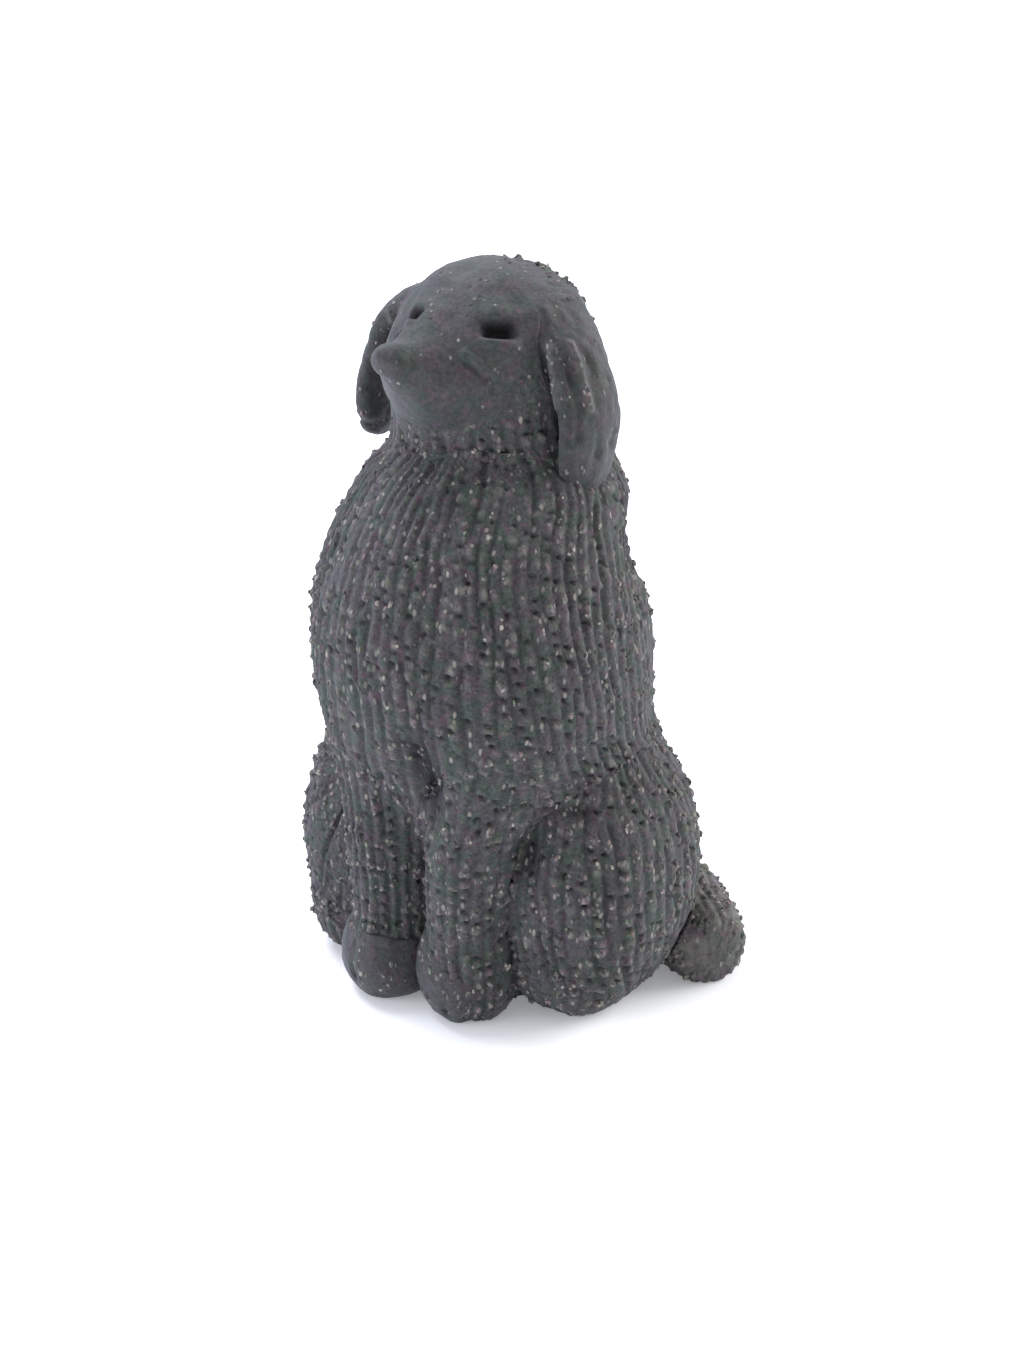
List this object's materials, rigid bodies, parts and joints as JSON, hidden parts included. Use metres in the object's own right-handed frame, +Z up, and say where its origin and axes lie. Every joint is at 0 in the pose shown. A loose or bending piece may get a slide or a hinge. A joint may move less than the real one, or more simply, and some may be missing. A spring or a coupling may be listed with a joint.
{
  "type": "dog figurine",
  "caption": "Seated dog figurine of dark unglazed clay, hollow and open underneath, with a combed coat, hanging ears and empty eye sockets.",
  "frame": {"origin": "on the resting face, in the dog's middle plane, between the forepaws and the tail", "axes": "+Z up, the dog faces -Y and its left side is +X"},
  "size_m": [0.062, 0.0568, 0.099],
  "materials": {
    "combed_clay": "unglazed, matte, coarse, combed with a toothed tool",
    "smooth_clay": "unglazed, matte, smoothed by finger and knife"
  },
  "bodies": {
    "root": {"body": "combed_clay", "neck": "combed_clay", "topknot": "combed_clay", "left_foreleg": "combed_clay", "right_foreleg": "combed_clay", "left_thigh": "combed_clay", "right_thigh": "combed_clay", "left_hind_paw": "combed_clay", "right_hind_paw": "combed_clay", "tail": "combed_clay", "head": "smooth_clay", "muzzle": "smooth_clay", "nose": "smooth_clay", "left_ear": "smooth_clay", "right_ear": "smooth_clay", "left_forepaw": "smooth_clay", "right_forepaw": "smooth_clay"}
  },
  "joints": []
}
